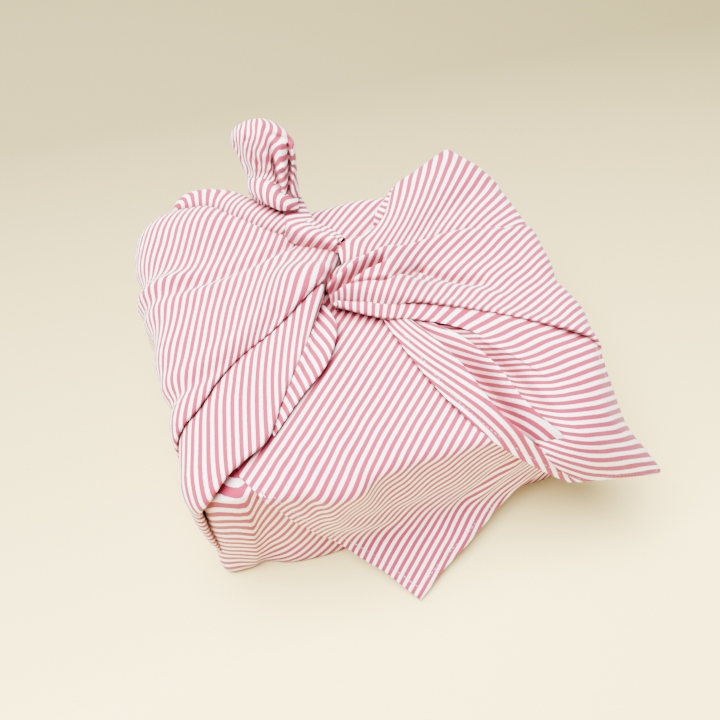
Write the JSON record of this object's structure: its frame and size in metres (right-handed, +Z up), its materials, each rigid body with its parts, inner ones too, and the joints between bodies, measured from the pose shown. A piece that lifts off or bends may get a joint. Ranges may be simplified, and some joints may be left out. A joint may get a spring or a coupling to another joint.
{
  "type": "furoshiki wrap",
  "caption": "Square striped cotton cloth drawn up around a flat box shape and tied on top, with a standing end, a spread free end and a hanging corner flap.",
  "frame": {"origin": "centre of the flat base that the bundle rests on", "axes": "+Z up, -Y towards the side where the corner flap hangs, +X towards the side where the free end is spread"},
  "size_m": [0.2618, 0.2418, 0.1623],
  "materials": {
    "striped_cotton": "matt plain-weave cotton with narrow pink and white stripes"
  },
  "bodies": {
    "root": {"furoshiki_wrap": "striped_cotton"}
  },
  "joints": []
}
